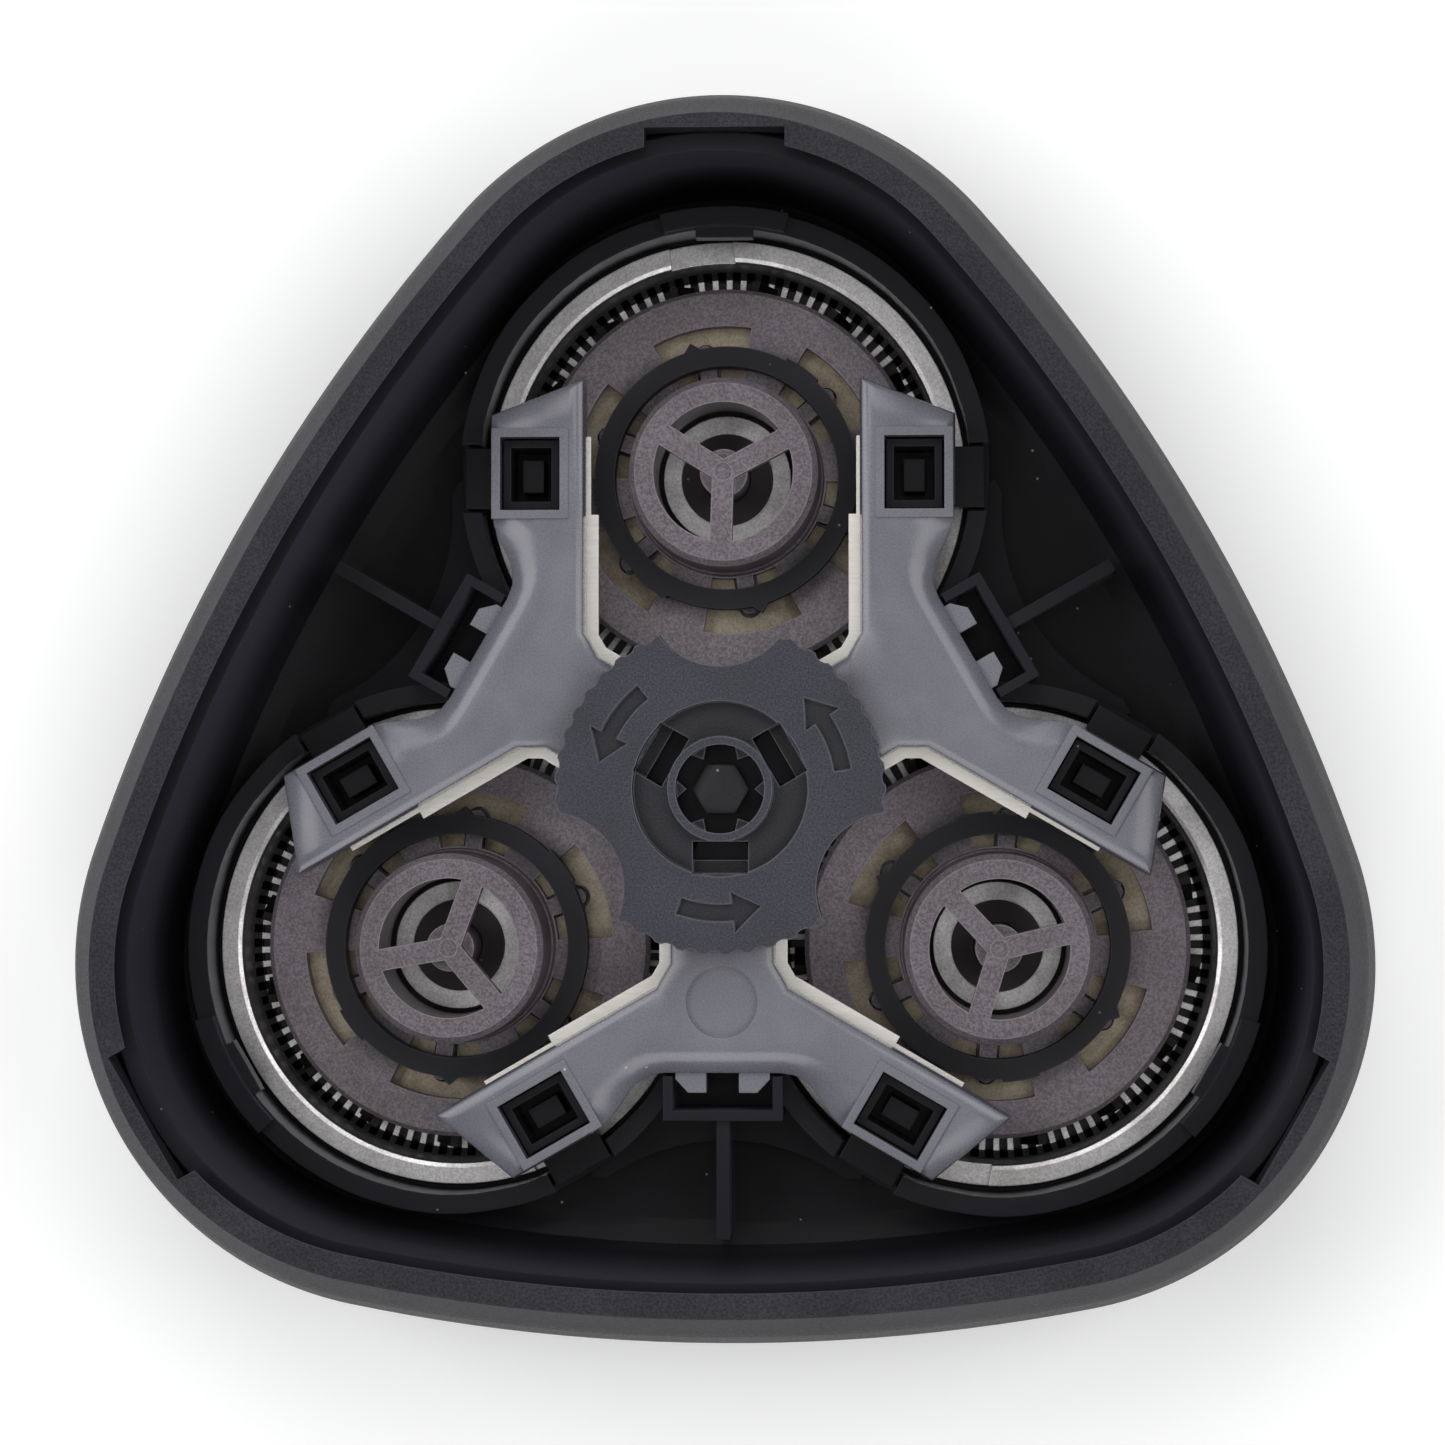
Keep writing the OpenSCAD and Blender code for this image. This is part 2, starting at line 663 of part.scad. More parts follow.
module lock_knob() {
    window_w = 2.85;
    ledge_r = 3.65;
    ledge_t = 0.45;
    arrow_r = 6.35;
    gusset_in = 1.75;
    floor_t = knob_t - recess_depth;
    color([0.17, 0.18, 0.2]) {
        difference() {
            union() {
                translate([0, 0, knob_z]) linear_extrude(knob_t) knob_edge();
                translate([0, 0, skirt_z]) cylinder(r = skirt_out, h = knob_z - skirt_z + 0.2, $fn = big_fn);
                translate([0, 0, skirt_z]) cylinder(r = bead_out, h = bead_h, $fn = big_fn);
            }
            translate([0, 0, skirt_z - cut]) cylinder(r = skirt_in, h = knob_z - skirt_z + cut, $fn = big_fn);
            difference() {
                translate([0, 0, knob_z + floor_t]) cylinder(r = recess_r, h = knob_t, $fn = big_fn);
                cylinder(r = tube_r, h = knob_top, $fn = small_fn);
            }
            translate([0, 0, knob_z - cut]) cylinder(r = tube_bore, h = knob_t + 2*cut, $fn = small_fn);
            three_times(30) translate([tube_r, -window_w/2, knob_z - cut])
                cube([ledge_r - tube_r, window_w, knob_t + 2*cut]);
            three_times(30) translate([tube_r, -window_w/2, knob_z + ledge_t])
                cube([recess_r - 0.15 - tube_r, window_w, knob_t]);
            for (a = [28, 148, 270]) translate([0, 0, knob_top - mark_depth]) rotate(a) arrow(arrow_r);
        }
        three_times(30) translate([0, 0, plate_z - bead_h]) ring_sector(skirt_in + 0.2, post_r + 0.25, lug_deg, lug_t + bead_h);
        for (i = [0:5]) rotate(60*i) translate([0, 0, knob_z]) linear_extrude(floor_t)
            polygon([[tube_bore + 0.1, -0.55], [gusset_in, 0], [tube_bore + 0.1, 0.55]]);
    }
}

// Stamped steel cap with a ring of slots and a raised hub that holds the bearing
module guard(n) {
    roll = 0.3;
    notch_floor = flange_z + flange_t/2;
    section = [
        [stem_r + 0.02, hub_z], [hub_top_r, hub_z], [hub_foot_r, guard_t], [track_out + 0.05, guard_t],
        [guard_inner_r, guard_t + 0.5], [guard_inner_r, flange_top - roll],
        [guard_inner_r + 0.3*roll, flange_top - 0.3*roll], [guard_inner_r + roll, flange_top],
        [flange_r, flange_top], [flange_r, flange_z], [guard_r, flange_z], [guard_r, 0.75], [guard_r - 0.75, 0],
        [hub_foot_r - 0.2, 0], [hub_top_r - 0.15, hub_z - guard_t], [stem_r + 0.02, hub_z - guard_t]
    ];
    pitch = 360/slot_count;
    at_head(n) color([0.75, 0.75, 0.77]) {
        difference() {
            rotate_extrude($fn = big_fn) polygon(section);
            for (i = [0:slot_count - 1]) rotate(pitch*i) translate([0, 0, -cut]) linear_extrude(guard_t + 2*cut)
                polygon([
                    track_in*unit(-slot_deg/2), track_out*unit(-slot_deg/2),
                    track_out*unit(slot_deg/2), track_in*unit(slot_deg/2)
                ]);
            rotate(guard_turn[n]) translate([-guard_notch_w/2, guard_inner_r - cut, notch_floor])
                cube([guard_notch_w, flange_w + guard_t + 2*cut, flange_t]);
        }
    }
}

// Plastic plug in the guard's hub, in which the cutter's pin turns
module bearing(n) {
    slope = (hub_foot_r - 0.2 - hub_top_r + 0.15)/(hub_z - guard_t);
    lip_z = 0.15;
    under = hub_z - guard_t - 0.05;
    lip_r = hub_foot_r - 0.3 - slope*lip_z;
    section = [
        [0, lip_z], [lip_r, lip_z], [lip_r - slope*(under - lip_z), under], [stem_r, under],
        [stem_r, hub_z + 0.3], [pin_r + pin_gap, hub_z + 0.3], [pin_r + pin_gap, 0.9], [0, 0.9]
    ];
    at_head(n) color([0.13, 0.12, 0.13]) rotate_extrude($fn = small_fn) polygon(section);
}

// Windows of the carrier, seen from above, without their tongues
module window_ring(in_r, out_r, angle) {
    for (i = [0:window_count - 1]) rotate(360*i/window_count + 12)
        rotate(-angle/2) rotate_extrude(angle = angle, $fn = big_fn)
            translate([in_r, 0]) square([out_r - in_r, through_h]);
}

module tongues(w, end) {
    for (i = [0:window_count - 1]) rotate(360*i/window_count + 12) {
        translate([window_in - 0.4, -w/2, 0]) cube([end - w/2 - window_in + 0.4, w, through_h]);
        translate([end - w/2, 0, 0]) cylinder(r = w/2, h = through_h, $fn = 24);
    }
}

// Sheet steel disc with slanted blades that run against the guard's track
module cutter(n) {
    disc_r = carrier_r - 0.3;
    blade_z = guard_t + blade_gap;
    lean = 0.9;
    at_head(n) rotate(cutter_turn[n]) color([0.55, 0.5, 0.42]) {
        difference() {
            translate([0, 0, cutter_z]) tube(disc_r, coupling_r - 0.4, cutter_t);
            translate([0, 0, cutter_z - cut]) tongues(tongue_w + 2*tongue_gap, tongue_end + tongue_gap);
        }
        for (i = [0:blade_count - 1]) rotate(360*i/blade_count)
            translate([blade_in, 0, 0]) rotate([90, 0, 90]) linear_extrude(blade_out - blade_in) polygon([
                [0, blade_z], [0.45, blade_z], [lean + 0.45, cutter_z + 0.15], [lean, cutter_z + 0.15]
            ]);
    }
}

// Moulded carrier: a disc with windows and the coupling with its three spokes
module carrier(n) {
    edge = 0.25;
    throat_r = 4.35;
    section = [
        [throat_r, carrier_z], [carrier_r - edge, carrier_z], [carrier_r, carrier_z + edge],
        [carrier_r, disc_z - edge], [carrier_r - edge, disc_z], [coupling_r, disc_z],
        [coupling_r - 0.05, disc_z + 0.9], [coupling_r - 0.15, disc_z + 1.0],
        [coupling_r - 0.25, coupling_z - 0.35], [coupling_r - 0.55, coupling_z], [socket_r, coupling_z],
        [socket_r, disc_z + 0.2], [throat_r, disc_z - 0.1]
    ];
    at_head(n) rotate(cutter_turn[n]) color([0.42, 0.38, 0.4]) {
        difference() {
            rotate_extrude($fn = big_fn) polygon(section);
            difference() {
                translate([0, 0, carrier_z - cut]) window_ring(window_in, window_out, window_deg);
                tongues(tongue_w, tongue_end);
                translate([0, 0, disc_z]) cylinder(r = carrier_r + cut, h = through_h, $fn = small_fn);
            }
        }
        intersection() {
            translate([0, 0, cutter_z + 0.05]) tongues(tongue_w, tongue_end);
            translate([0, 0, cutter_z + 0.05]) tube(tongue_end + 1, window_in - 0.2, carrier_z - cutter_z + 0.1);
        }
        difference() {
            union() {
                three_times() translate([0, -spoke_w/2, spoke_level]) cube([socket_r + 0.3, spoke_w, spoke_t]);
                translate([0, 0, spoke_level]) linear_extrude(spoke_t) circle(r = 1.35, $fn = 3);
            }
            translate([0, 0, coupling_z - 0.15]) cylinder(r = 0.45, h = 1, $fn = 24);
        }
        translate([0, 0, 1.1]) cylinder(r = pin_r, h = spoke_level - 1.1 + 0.1, $fn = small_fn);
    }
}

// Ring clipped over the carrier, with two pointers and two stops
module clip_ring(n) {
    pointer = 0.42;
    at_head(n) rotate(cutter_turn[n] + 17) color([0.09, 0.1, 0.11]) translate([0, 0, disc_z]) {
        tube(clip_out, clip_in, clip_h);
        for (a = [60, 240]) rotate(a) linear_extrude(clip_h) polygon([
            [clip_out - 0.3, -0.75], [clip_out + pointer, 0], [clip_out - 0.3, 0.75]
        ]);
        for (a = [10, 190]) rotate(a) ring_sector(clip_out + 0.15, clip_out - 0.3, 16, clip_h);
    }
}

outer_shell();
inner_holder();
retaining_frame();
spring_plate();
lock_knob();
foot(0);  // foot_1
foot(1);  // foot_2
foot(2);  // foot_3
foot(3);  // foot_4
foot(4);  // foot_5
foot(5);  // foot_6
guard(0);  // guard_1
guard(1);  // guard_2
guard(2);  // guard_3
bearing(0);  // bearing_1
bearing(1);  // bearing_2
bearing(2);  // bearing_3
cutter(0);  // cutter_1
cutter(1);  // cutter_2
cutter(2);  // cutter_3
carrier(0);  // carrier_1
carrier(1);  // carrier_2
carrier(2);  // carrier_3
clip_ring(0);  // clip_ring_1
clip_ring(1);  // clip_ring_2
clip_ring(2);  // clip_ring_3
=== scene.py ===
"""Looks of the rotary shaver head: plastics, turned steel and small wear, seen from its drive side."""
import json
import math

import bpy
import numpy as np
from mathutils import Matrix, Vector


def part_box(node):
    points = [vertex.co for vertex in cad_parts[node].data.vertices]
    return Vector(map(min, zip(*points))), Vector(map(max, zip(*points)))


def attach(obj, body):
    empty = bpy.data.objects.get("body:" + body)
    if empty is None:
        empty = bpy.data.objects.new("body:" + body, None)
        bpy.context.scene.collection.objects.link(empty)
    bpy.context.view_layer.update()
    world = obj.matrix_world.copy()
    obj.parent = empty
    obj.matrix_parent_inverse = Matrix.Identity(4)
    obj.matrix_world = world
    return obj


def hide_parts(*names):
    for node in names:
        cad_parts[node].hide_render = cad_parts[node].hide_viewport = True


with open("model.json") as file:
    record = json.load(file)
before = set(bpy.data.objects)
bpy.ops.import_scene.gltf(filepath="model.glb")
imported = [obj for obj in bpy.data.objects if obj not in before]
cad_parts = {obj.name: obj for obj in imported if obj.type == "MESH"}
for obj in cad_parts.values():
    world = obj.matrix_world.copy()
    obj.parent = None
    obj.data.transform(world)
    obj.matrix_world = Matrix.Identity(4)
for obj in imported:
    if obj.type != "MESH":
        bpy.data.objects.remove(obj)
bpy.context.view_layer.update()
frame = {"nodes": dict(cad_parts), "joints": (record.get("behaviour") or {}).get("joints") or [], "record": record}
nodes = frame["nodes"]
record = frame["record"]
MM = 0.001
HEADS = ("1", "2", "3")
MATERIAL_SLOT = {part["node"]: part["material_slot"] for part in record["subparts"]}
BODY_OF = {node: body for body, held in record["behaviour"]["bodies"].items() for node in held}


def head_centre(n):
    """The middle of a cutting head, on the plane of the guards' faces."""
    low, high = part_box("guard_" + n)
    return ((low[0] + high[0])/2, (low[1] + high[1])/2, 0.0)


# Selecting and shading
def deselect_all():
    if bpy.context.object and bpy.context.object.mode != "OBJECT":
        bpy.ops.object.mode_set(mode="OBJECT")
    bpy.ops.object.select_all(action="DESELECT")


def pick(piece):
    deselect_all()
    bpy.context.view_layer.objects.active = piece
    piece.select_set(True)


def smooth_by_angle(piece, degrees):
    pick(piece)
    bpy.ops.object.shade_smooth_by_angle(angle=math.radians(degrees))
    deselect_all()


def dress(piece, material):
    piece.data.materials.clear()
    piece.data.materials.append(material)


# Arcs of the head's outline, in mm and degrees, as the part's source works them out
FIRST_SPIN = next(joint for joint in frame["joints"] if joint["name"] == "blades_1_spin")
HEAD_DIST = FIRST_SPIN["pos_m"][1]/MM
CORNER_SHIFT = 1.3
CORNER_DIST = HEAD_DIST + CORNER_SHIFT
CORNER_R = 18.0
SIDE_R = 97.0
SIDE_DIST = (math.sqrt(4*(SIDE_R - CORNER_R)**2 - 3*CORNER_DIST**2) - CORNER_DIST)/2
SIDE_SPREAD = SIDE_DIST*math.cos(math.radians(30))
CORNER_HALF = math.degrees(math.atan2(CORNER_DIST + SIDE_DIST/2, -SIDE_SPREAD)) - 90
SIDE_HALF = 60 - CORNER_HALF

# Chords in half of each arc
CORNER_CHORDS = 8
SIDE_CHORDS = 3

# Width in mm of the band inside the outline that follows the arcs
EDGE_BAND = 7.5

# Share by which a rounded copy is drawn in, so that it stays inside the CAD box
DRAWN_IN = 3e-5

# Corners that lie closer than this, in metres, are joined
SAME_PLACE = 2e-7


def bend_to_arc(points, direction, centre, radius, half, chords):
    """Moves points near one arc of the outline out from its chords on to the arc itself."""
    step = half/chords
    turn = math.radians(direction)
    start = centre*MM*np.array([math.cos(turn), math.sin(turn)])
    away = points[:, :2] - start
    reach = np.hypot(away[:, 0], away[:, 1])
    angle = np.degrees(np.arctan2(away[:, 1], away[:, 0])) - direction
    angle = (angle + 180) % 360 - 180
    near = (np.abs(angle) <= half) & (reach > (radius - EDGE_BAND)*MM)
    off = np.radians((angle + half) % step - step/2)
    grow = np.where(near, np.cos(off)/math.cos(math.radians(step/2)), 1.0)
    points[:, :2] = start + away*grow[:, None]


def round_outline(piece, cuts):
    """The outline's arcs are chords in CAD: the copy's edges are cut and bent back on to the arcs."""
    pick(piece)
    bpy.ops.object.mode_set(mode="EDIT")
    bpy.ops.mesh.select_all(action="SELECT")
    bpy.ops.mesh.subdivide(number_cuts=cuts)
    bpy.ops.object.mode_set(mode="OBJECT")
    flat = np.empty(3*len(piece.data.vertices))
    piece.data.vertices.foreach_get("co", flat)
    points = flat.reshape(-1, 3)
    for k in range(3):
        bend_to_arc(points, 90 + 120*k, CORNER_DIST, CORNER_R, CORNER_HALF, CORNER_CHORDS)
        bend_to_arc(points, 150 + 120*k, -SIDE_DIST, SIDE_R, SIDE_HALF, SIDE_CHORDS)
    points[:, :2] *= 1 - DRAWN_IN
    piece.data.vertices.foreach_set("co", points.ravel())
    piece.data.update()
    deselect_all()


def merged_copy(node, name, degrees, cuts):
    """A copy of a CAD node with its triangles joined, so that it can be shaded smooth."""
    source = nodes[node]
    piece = source.copy()
    piece.data = source.data.copy()
    piece.name = name
    piece.parent = None
    bpy.context.collection.objects.link(piece)
    pick(piece)
    bpy.ops.object.mode_set(mode="EDIT")
    bpy.ops.mesh.select_all(action="SELECT")
    bpy.ops.mesh.remove_doubles(threshold=SAME_PLACE)
    bpy.ops.mesh.customdata_custom_splitnormals_clear()
    bpy.ops.object.mode_set(mode="OBJECT")
    if cuts:
        round_outline(piece, cuts)
    smooth_by_angle(piece, degrees)
    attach(piece, BODY_OF[node])
    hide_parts(node)
    return piece


# Colours
def rgb(red, green, blue):
    return (red, green, blue, 1.0)


def grey(level):
    return rgb(level, level, level)


def toned(colour, gain, lift=0.0):
    """The colour made darker or paler, and then lifted evenly."""
    return rgb(*(gain*c + lift for c in colour))


# Cells of the dust in a metre, and the reach of a speck in its cell, from full to none
DUST_CELLS = 700.0
SPECK_FULL = 0.03
SPECK_NONE = 0.06

# Painted shade: black ends of the guards' slots, in degrees round the head and mm from its middle
GUARD_SLOTS = 90
SLOT_PITCH = 360/GUARD_SLOTS
SLOT_WIDTH = 2.3
SLOT_FROM = 11.0
SLOT_TO = 11.46


class Recipe:
    """A material under construction: its nodes, its links and its one shader."""

    def __init__(self, name):
        self.material = bpy.data.materials.new(name)
        self.material.use_nodes = True
        self.tree = self.material.node_tree
        self.shader = self.tree.nodes["Principled BSDF"]
        self.place = self.tree.nodes.new("ShaderNodeTexCoord").outputs["Object"]

    def set(self, **sockets):
        """Sets plain values on the shader's own sockets."""
        for name, value in sockets.items():
            self.shader.inputs[name.replace("_", " ")].default_value = value
        return self

    def paint(self, socket, source):
        """Links a node's output to one of the shader's sockets."""
        self.link(source, self.shader.inputs[socket])

    def node(self, kind, **settings):
        made = self.tree.nodes.new(kind)
        for name, value in settings.items():
            setattr(made, name, value)
        return made

    def link(self, source, target):
        self.tree.links.new(source, target)

    def feed(self, value, target):
        """Sets a plain value on a socket, or links a node's output to it."""
        if isinstance(value, (tuple, list, float, int)):
            target.default_value = value
        else:
            self.link(value, target)

    def calculate(self, operation, *terms):
        """A Math node whose terms are plain values or nodes' outputs."""
        made = self.node("ShaderNodeMath", operation=operation)
        for term, target in zip(terms, made.inputs):
            self.feed(term, target)
        return made.outputs["Value"]

    def part(self, vector, axis):
        made = self.node("ShaderNodeSeparateXYZ")
        self.link(vector, made.inputs["Vector"])
        return made.outputs[axis]

    def length(self, vector):
        made = self.node("ShaderNodeVectorMath", operation="LENGTH")
        self.link(vector, made.inputs[0])
        return made.outputs["Value"]

    def centred(self, centre, stretch=(1, 1, 1)):
        """Places measured from a centre, with each axis stretched by its own factor."""
        mapping = self.node("ShaderNodeMapping", vector_type="POINT")
        mapping.inputs["Location"].default_value = [-c*s for c, s in zip(centre, stretch)]
        mapping.inputs["Scale"].default_value = stretch
        self.link(self.place, mapping.inputs["Vector"])
        return mapping.outputs["Vector"]

    def noise(self, per_metre, detail, rough=0.55, place=None):
        made = self.node("ShaderNodeTexNoise")
        made.inputs["Scale"].default_value = per_metre
        made.inputs["Detail"].default_value = detail
        made.inputs["Roughness"].default_value = rough
        self.link(place or self.place, made.inputs["Vector"])
        return made.outputs["Fac"]

    def levels(self, source, low, high, low_at=0.35, high_at=0.65):
        """Goes from low to high while the source goes from low_at to high_at."""
        made = self.node("ShaderNodeMapRange")
        made.inputs["From Min"].default_value = low_at
        made.inputs["From Max"].default_value = high_at
        made.inputs["To Min"].default_value = low
        made.inputs["To Max"].default_value = high
        self.link(source, made.inputs["Value"])
        return made.outputs["Result"]

    def ramp(self, source, first_stop, last_stop):
        """Goes from one colour to another. A stop is a position and its colour."""
        made = self.node("ShaderNodeValToRGB")
        for element, (position, colour) in zip(made.color_ramp.elements, (first_stop, last_stop)):
            element.position = position
            element.color = colour
        self.link(source, made.inputs["Fac"])
        return made.outputs["Color"]

    def mix(self, amount, first, second, blend="MIX"):
        made = self.node("ShaderNodeMix", data_type="RGBA", blend_type=blend)
        for value, name in ((amount, "Factor"), (first, "A"), (second, "B")):
            self.feed(value, next(s for s in made.inputs if s.name == name and s.enabled))
        return next(s for s in made.outputs if s.enabled)

    def multiply(self, first, second):
        return self.mix(1.0, first, second, "MULTIPLY")

    def soft_edges(self, radius_mm):
        """The surface's normal, as if its edges were rounded."""
        made = self.node("ShaderNodeBevel", samples=4)
        made.inputs["Radius"].default_value = radius_mm*MM
        return made.outputs["Normal"]

    def bump(self, height, distance_mm, strength, after):
        """Puts bumps on the shader, on top of the normal that is given."""
        made = self.node("ShaderNodeBump")
        made.inputs["Strength"].default_value = strength
        made.inputs["Distance"].default_value = distance_mm*MM
        self.link(height, made.inputs["Height"])
        self.link(after, made.inputs["Normal"])
        self.paint("Normal", made.outputs["Normal"])
        return made.outputs["Normal"]

    def wear_and_highlight_edges(self, radius_mm, low=0.02, high=0.25):
        """1 along convex and concave edges, 0 on open faces: the edges that are painted paler, partly as rubbed
        wear and partly as painted highlight.
        """
        geometry = self.node("ShaderNodeNewGeometry")
        dot = self.node("ShaderNodeVectorMath", operation="DOT_PRODUCT")
        self.link(self.soft_edges(radius_mm), dot.inputs[0])
        self.link(geometry.outputs["Normal"], dot.inputs[1])
        return self.levels(dot.outputs["Value"], 1.0, 0.0, 1.0 - high, 1.0 - low)

    def height(self, from_mm, to_mm):
        """Goes from 0 to 1 between two heights over the guards' faces."""
        return self.levels(self.part(self.place, "Z"), 0.0, 1.0, from_mm*MM, to_mm*MM)

    def steep(self):
        """1 on faces that stand up, 0 on level ones."""
        geometry = self.node("ShaderNodeNewGeometry")
        level = self.calculate("ABSOLUTE", self.part(geometry.outputs["Normal"], "Z"))
        return self.levels(level, 1.0, 0.0, 0.3, 0.7)

    def within(self, reach, edge_mm, fade_mm, inside=1.0, outside=0.0):
        """One value up to a radius and the other past it, with a short fade outwards."""
        return self.levels(reach, inside, outside, edge_mm*MM, (edge_mm + fade_mm)*MM)

    def dust(self, share, colour, under):
        """Sparse pale specks over the colour that is given, in a share of the cells."""
        cells = self.node("ShaderNodeTexVoronoi")
        cells.inputs["Scale"].default_value = DUST_CELLS
        self.link(self.place, cells.inputs["Vector"])
        close = self.levels(cells.outputs["Distance"], 1.0, 0.0, SPECK_FULL, SPECK_NONE)
        chosen = self.levels(cells.outputs["Color"], 0.0, 1.0, 1.0 - share, 1.0 - share + 0.01)
        return self.mix(self.calculate("MULTIPLY", close, chosen), under, colour)

    def slot_ends(self, place, reach):
        """1 where the guard's slots end, painted black as painted shade; they run on up the foot of its wall."""
        turn = self.calculate("ARCTAN2", self.part(place, "Y"), self.part(place, "X"))
        steps = self.calculate("DIVIDE", turn, math.radians(SLOT_PITCH))
        wave = self.calculate("PINGPONG", steps, 0.5)
        half = SLOT_WIDTH/SLOT_PITCH/2
        slot = self.levels(wave, 1.0, 0.0, half - 0.02, half + 0.02)
        band = self.within(reach, SLOT_TO, 0.03)
        start = self.levels(reach, 0.0, 1.0, (SLOT_FROM - 0.01)*MM, SLOT_FROM*MM)
        return self.calculate("MULTIPLY", self.calculate("MULTIPLY", slot, band), start)


# Kinds of finish
def textured_plastic(name, colour, grain_mm, depth_mm, roughness, contrast, rubbed_and_highlit, shade, gloss):
    """Moulded plastic with a spark-eroded grain: fine pits, cloudy changes of tone and paler edges, partly rubbed
    wear and partly painted highlight.

    One pair gives the gain and the lift of the colour on the paler edges. shade lists runs of painted shade
    between two heights in mm, each with the share of the colour that is left at the first height and beyond it.
    """
    made = Recipe(name).set(Specular_IOR_Level=gloss)
    grain = made.noise(1/(grain_mm*MM), detail=2.0, rough=0.65)
    clouds = made.noise(1/(5*MM), detail=4.0)
    tone = made.mix(made.levels(clouds, 0.0, 1.0), toned(colour, 0.86), toned(colour, 1.12))
    # Painted shade: the colour is painted darker by height, in each run of shade
    for from_mm, to_mm, share in shade:
        tone = made.multiply(tone, made.mix(made.height(from_mm, to_mm), grey(share), grey(1)))
    pit = grey(1 - contrast)
    crest = rgb(1 + contrast, 1 + contrast, 1.02*(1 + contrast))
    fleck = made.ramp(grain, (0.36, pit), (0.64, crest))
    # Paler edges: partly rubbed wear, partly painted highlight
    edges = made.wear_and_highlight_edges(0.13)
    made.paint("Base Color", made.mix(edges, made.multiply(tone, fleck), toned(colour, *rubbed_and_highlit)))
    made.paint("Roughness", made.levels(grain, roughness - 0.08, roughness + 0.1))
    made.bump(grain, depth_mm, 1.0, after=made.soft_edges(0.08))
    return made.material


def polished_plastic(name, colour, roughness, film_and_painted_light=1.0, wall=None):
    """Glossy moulded plastic with fine scratches, specks of dust, and painted light: paler higher up and on walls.
    """
    made = Recipe(name).set(Specular_IOR_Level=0.12)
    # Painted light: the colour is painted paler higher up, and paler still on standing faces
    tone = made.mix(made.height(3.0, 6.0), rgb(*colour), toned(colour, film_and_painted_light))
    if wall:
        standing = made.calculate("MULTIPLY", made.height(3.0, 8.0), made.steep())
        tone = made.mix(standing, tone, toned(colour, wall))
    # Paler edges: partly rubbed wear, partly painted highlight
    rubbed_and_highlit = made.mix(made.wear_and_highlight_edges(0.12), tone, toned(colour, 4))
    made.paint("Base Color", made.dust(0.5, rgb(0.22, 0.22, 0.23), rubbed_and_highlit))
    long_way = made.centred((0, 0, 0), (1.0, 14.0, 3.0))
    other_way = made.centred((0, 0, 0), (11.0, 1.3, 2.0))
    scratches = made.noise(700.0, detail=5.0, rough=0.7, place=long_way)
    crossing = made.noise(520.0, detail=5.0, rough=0.7, place=other_way)
    first = made.levels(scratches, 0.0, 1.0, 0.62, 0.75)
    second = made.levels(crossing, 0.0, 1.0, 0.64, 0.76)
    marks = made.calculate("MAXIMUM", first, second)
    smear = made.noise(160.0, detail=3.0)
    under = made.levels(smear, roughness - 0.04, roughness + 0.08)
    made.paint("Roughness", made.calculate("MULTIPLY_ADD", marks, 0.25, under))
    made.bump(smear, 0.01, 0.4, after=made.soft_edges(0.1))
    return made.material


def satin_plastic(name, colour, roughness):
    """Smooth plastic with a very fine grain, faint flow marks, specks of dust and pale edges, partly rubbed and
    partly painted highlight.
    """
    made = Recipe(name).set(Specular_IOR_Level=0.4, Coat_Weight=0.5, Coat_Roughness=0.18)
    clouds = made.noise(1/(4*MM), detail=5.0, rough=0.6)
    grain = made.noise(1/(0.10*MM), detail=2.0, rough=0.6)
    tone = made.mix(made.levels(clouds, 0.0, 1.0), toned(colour, 0.9), toned(colour, 1.1))
    fleck = made.ramp(grain, (0.38, grey(0.93)), (0.62, grey(1.07)))
    # Paler edges: partly rubbed wear, partly painted highlight
    edges = made.wear_and_highlight_edges(0.16, low=0.03, high=0.35)
    rubbed_and_highlit = made.mix(edges, made.multiply(tone, fleck), toned(colour, 1.6))
    made.paint("Base Color", made.dust(0.3, grey(0.5), rubbed_and_highlit))
    made.paint("Roughness", made.levels(grain, roughness - 0.05, roughness + 0.07))
    made.bump(grain, 0.004, 0.6, after=made.soft_edges(0.16))
    return made.material


